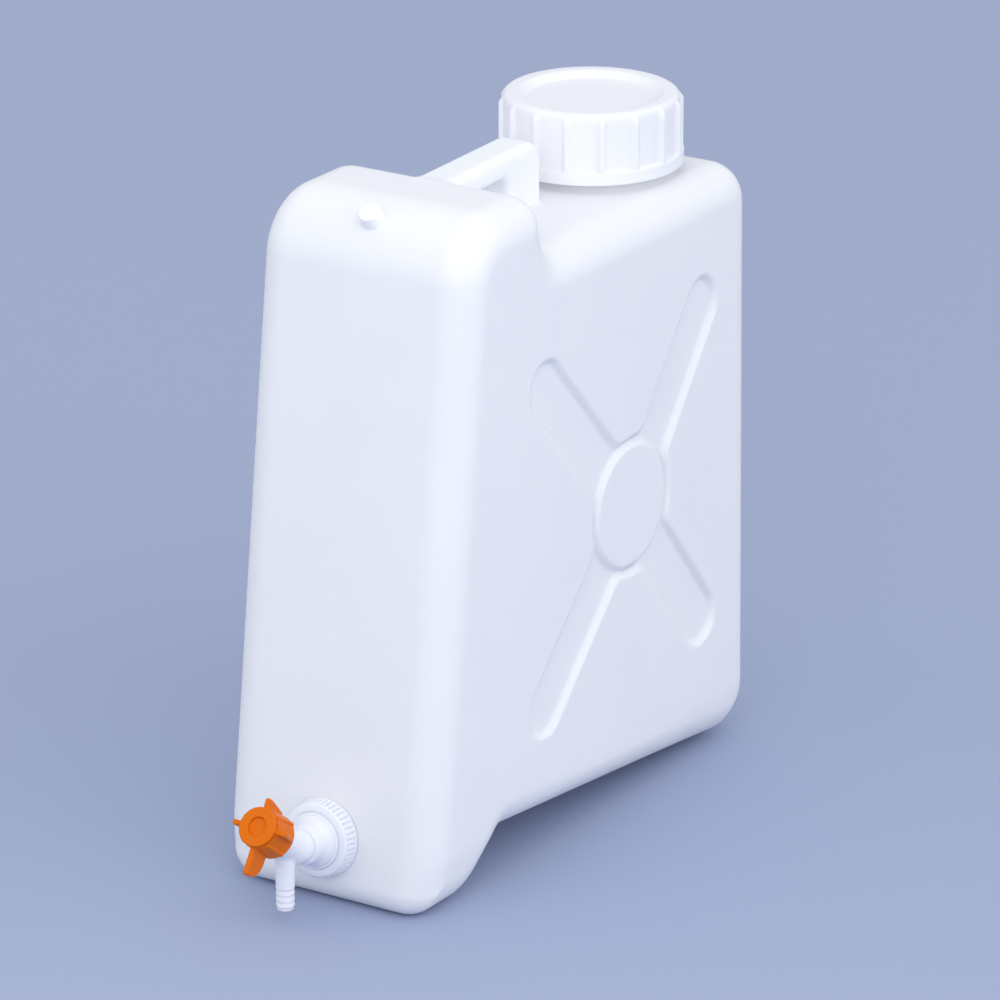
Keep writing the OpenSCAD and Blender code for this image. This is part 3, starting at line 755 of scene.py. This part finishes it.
def ring_nut(tree, finish):
    """Nut with a tapered outside whose grooves leave many small grip ribs standing"""
    groove, taper = 1.4, 1.1
    groove_back, groove_front = NUT_BACK + 1.6, NUT_FRONT - 2.4
    rim_r, front_r = NUT_R + 0.2, NUT_R - taper
    points = turned_points([
        (NUT_LIP_R, FLANGE_FRONT, 0), (NUT_BORE_R, FLANGE_FRONT, 0.2),
        (NUT_BORE_R, NUT_BACK, 0.3), (rim_r, NUT_BACK, 0.4), (rim_r, groove_back - 0.4, 0.2),
        (NUT_R - groove, groove_back, 0.1), (NUT_R - groove - taper, groove_front, 0.1),
        (front_r, groove_front + 0.4, 0.2), (front_r - 1.2, NUT_FRONT - 0.6, 0.8),
        (NUT_R - 4.6, NUT_FRONT, 1.4), (NUT_LIP_R, NUT_FRONT, 0.5),
        (NUT_LIP_R, FLANGE_FRONT + 0.3, 0),
    ], 1.2)
    radius, height = points.T
    crest = NUT_R - taper * (height - groove_back) / (groove_front - groove_back)
    in_grooves = ((radius > NUT_BORE_R + 0.5) & (height > groove_back - 0.3)
                  & (height < groove_front + 0.3))
    # The rib nodes lift towards one radius, so the share of the lift follows the taper
    grips = np.where(in_grooves, np.clip((crest - radius) / (NUT_R + 0.1 - radius), 0, 1), 0)
    columns = rib_columns(NUT_RIBS, NUT_R, NUT_RIB_W, NUT_RIB_EDGE, NUT_RIB_PHASE)
    piece = turned_mesh("ring_nut_skin", points, grips, columns)
    with_ribs(piece, tree, finish, rib_count=NUT_RIBS, ring_radius=NUT_R,
              rib_width=NUT_RIB_W, crest_radius=NUT_R + 0.1, edge_round=NUT_RIB_EDGE,
              phase=NUT_RIB_PHASE)
    soften(piece)
    piece.data.transform(outlet_matrix())
    return piece


# Finishes


def noise(tree, place, scale, detail):
    node = tree.nodes.new("ShaderNodeTexNoise")
    node.inputs["Scale"].default_value = scale
    node.inputs["Detail"].default_value = detail
    tree.links.new(place, node.inputs["Vector"])
    return node.outputs["Fac"]


def relief(tree, height, strength, distance):
    node = tree.nodes.new("ShaderNodeBump")
    node.inputs["Strength"].default_value = strength
    node.inputs["Distance"].default_value = distance
    tree.links.new(height, node.inputs["Height"])
    return node


def plastic(name, colour, tint, roughness, bump, glow=0.0, grain=900.0, shine=0.5):
    """Moulded plastic: slight clouding, a fine surface grain and soft large waves"""
    material = bpy.data.materials.new(name)
    material.use_nodes = True
    tree = material.node_tree
    shader = tree.nodes["Principled BSDF"]
    place = tree.nodes.new("ShaderNodeTexCoord").outputs["Object"]
    mix = tree.nodes.new("ShaderNodeMix")
    mix.data_type = "RGBA"
    mix.inputs["A"].default_value = (*colour, 1)
    mix.inputs["B"].default_value = (*tint, 1)
    tree.links.new(noise(tree, place, 14, 3), mix.inputs["Factor"])
    tree.links.new(mix.outputs["Result"], shader.inputs["Base Color"])
    grains = noise(tree, place, grain, 2)
    sheen = tree.nodes.new("ShaderNodeMapRange")
    sheen.inputs["To Min"].default_value = roughness - 0.06
    sheen.inputs["To Max"].default_value = roughness + 0.06
    tree.links.new(grains, sheen.inputs["Value"])
    tree.links.new(sheen.outputs["Result"], shader.inputs["Roughness"])
    coarse = relief(tree, noise(tree, place, 22, 1), 0.25, bump)
    fine = relief(tree, grains, 0.2, bump * 0.06)
    tree.links.new(coarse.outputs["Normal"], fine.inputs["Normal"])
    tree.links.new(fine.outputs["Normal"], shader.inputs["Normal"])
    shader.inputs["IOR"].default_value = 1.5
    shader.inputs["Specular IOR Level"].default_value = shine
    if glow:
        shader.inputs["Subsurface Weight"].default_value = glow
        shader.inputs["Subsurface Radius"].default_value = (1.0, 1.0, 1.1)
        shader.inputs["Subsurface Scale"].default_value = 0.006
    return material


def linear(red, green, blue):
    """Linear colour of a display colour from 0 to 255"""
    return tuple(((c / 255 + 0.055) / 1.055) ** 2.4 for c in (red, green, blue))


tank_plastic = plastic(
    "tank_plastic", linear(246, 247, 250), linear(238, 240, 247), 0.45, 0.0006, glow=0.3)
cap_plastic = plastic("cap_plastic", linear(243, 244, 247), linear(238, 239, 244), 0.42, 0.0002)
spigot_plastic = plastic(
    "spigot_plastic", linear(240, 242, 249), linear(234, 237, 246), 0.34, 0.0001)
knob_plastic = plastic(
    "knob_plastic", linear(228, 116, 0), linear(220, 106, 0), 0.36, 0.00012, shine=0.15)
plunger_plastic = plastic(
    "plunger_plastic", linear(240, 241, 244), linear(232, 234, 238), 0.4, 0.0001)
seal_rubber = plastic("seal_rubber", linear(42, 42, 44), linear(34, 34, 36), 0.6, 0.0001)
gasket_foam = plastic(
    "gasket_foam", linear(222, 224, 226), linear(208, 210, 214), 0.8, 0.0003, grain=1600.0)


def dress_node(name, material):
    """Gives a CAD node that stays in view its finish"""
    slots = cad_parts[name].material_slots
    for slot in slots:
        slot.material = material
    if not slots:
        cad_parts[name].data.materials.append(material)


def fit(piece, node, body, material):
    """Puts a piece in the place of its CAD node"""
    piece.data.materials.clear()
    piece.data.materials.append(material)
    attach(piece, body)
    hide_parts(node)


rib_tree = grip_rib_tree()
fit(tank_shell(), "tank", "tank_body", tank_plastic)
fit(screw_cap(rib_tree, cap_plastic), "screw_cap", "cap", cap_plastic)
fit(ring_nut(rib_tree, spigot_plastic), "ring_nut", "tank_body", spigot_plastic)
spigot_skin = finish_skin(
    moulding("spigot_skin", spigot, (-21, -269, 10), (21, -192, 84), 0.75, 0.6), spigot)
fit(spigot_skin, "spigot_body", "tank_body", spigot_plastic)
knob_skin = finish_skin(
    moulding("knob_skin", knob, (-20, -286, 40), (20, -234, 98), 0.42, 0.6), knob)
fit(knob_skin, "valve_knob", "knob", knob_plastic)
dress_node("cap_gasket", gasket_foam)
dress_node("outlet_gasket", seal_rubber)
dress_node("plunger_oring", seal_rubber)
dress_node("seat_washer", gasket_foam)
dress_node("valve_plunger", plunger_plastic)


# Studio

BACKDROP = linear(160, 171, 199)


def seen_as(tree, colour, shader):
    """Shows a plain colour to the camera and to reflections, and shader to everything else"""
    path = tree.nodes.new("ShaderNodeLightPath")
    plain = tree.nodes.new("ShaderNodeBackground")
    plain.inputs["Color"].default_value = (*colour, 1)
    either = math_node(tree, "MAXIMUM", path.outputs["Is Camera Ray"], path.outputs["Is Glossy Ray"])
    either = math_node(tree, "MAXIMUM", either, path.outputs["Is Transmission Ray"])
    mix = tree.nodes.new("ShaderNodeMixShader")
    tree.links.new(either, mix.inputs[0])
    tree.links.new(shader, mix.inputs[1])
    tree.links.new(plain.outputs[0], mix.inputs[2])
    return mix.outputs[0]


def studio_floor():
    """Matt floor in the colour of the background, which takes the shadow"""
    span = 6
    verts = np.array([(-span, -span, 0), (span, -span, 0), (span, span, 0), (-span, span, 0)], float)
    floor = new_piece("studio_floor", verts, [(0, 1, 2, 3)])
    material = bpy.data.materials.new("floor_paper")
    material.use_nodes = True
    tree = material.node_tree
    shader = tree.nodes["Principled BSDF"]
    shader.inputs["Base Color"].default_value = (*BACKDROP, 1)
    shader.inputs["Roughness"].default_value = 0.9
    shader.inputs["Specular IOR Level"].default_value = 0.1
    floor.data.materials.append(material)


def studio_light(name, kind, energy, direction, size, place=(0, 0, 0)):
    """Sun whose size is its angle in degrees, or area light whose size is its side in metres"""
    data = bpy.data.lights.new(name, kind)
    data.energy = energy
    if kind == "SUN":
        data.angle = math.radians(size)
    else:
        data.size = size
    lamp = bpy.data.objects.new(name, data)
    lamp.location = place
    lamp.rotation_euler = Vector(direction).to_track_quat("-Z", "Y").to_euler()
    bpy.context.scene.collection.objects.link(lamp)


def studio():
    """Floor, even light all round, two wide suns and an area light above on the right"""
    studio_floor()
    world = bpy.data.worlds.new("studio")
    world.use_nodes = True
    tree = world.node_tree
    ambient = tree.nodes["Background"]
    ambient.inputs["Color"].default_value = (0.95, 0.965, 1, 1)
    ambient.inputs["Strength"].default_value = 0.92
    tree.links.new(
        seen_as(tree, BACKDROP, ambient.outputs[0]), tree.nodes["World Output"].inputs["Surface"])
    bpy.context.scene.world = world
    studio_light("front_light", "SUN", 0.25, (0.35, 0.9, -0.4), 60)
    studio_light("side_light", "SUN", 0.6, (-1, 0, -0.4), 60)
    studio_light("upper_light", "AREA", 3.2, (-0.46, 0.7, -0.55), 0.8, (0.55, -0.85, 0.95))


def photo_camera():
    """Long lens, to the right of the front and above, as the photo was taken"""
    azimuth, elevation, distance = math.radians(32.5), math.radians(20.1), 4.1935
    target = Vector((0, 0.0511, 0.206))
    ahead = Vector((-math.sin(azimuth) * math.cos(elevation),
                    math.cos(azimuth) * math.cos(elevation), -math.sin(elevation)))
    data = bpy.data.cameras.new("photo_camera")
    data.lens = 234
    data.sensor_width = 36
    data.clip_end = 50
    camera = bpy.data.objects.new("photo_camera", data)
    camera.location = target - distance * ahead
    camera.rotation_euler = ahead.to_track_quat("-Z", "Y").to_euler()
    bpy.context.scene.collection.objects.link(camera)
    bpy.context.scene.camera = camera


studio()
photo_camera()
bpy.context.scene.view_settings.view_transform = "Standard"
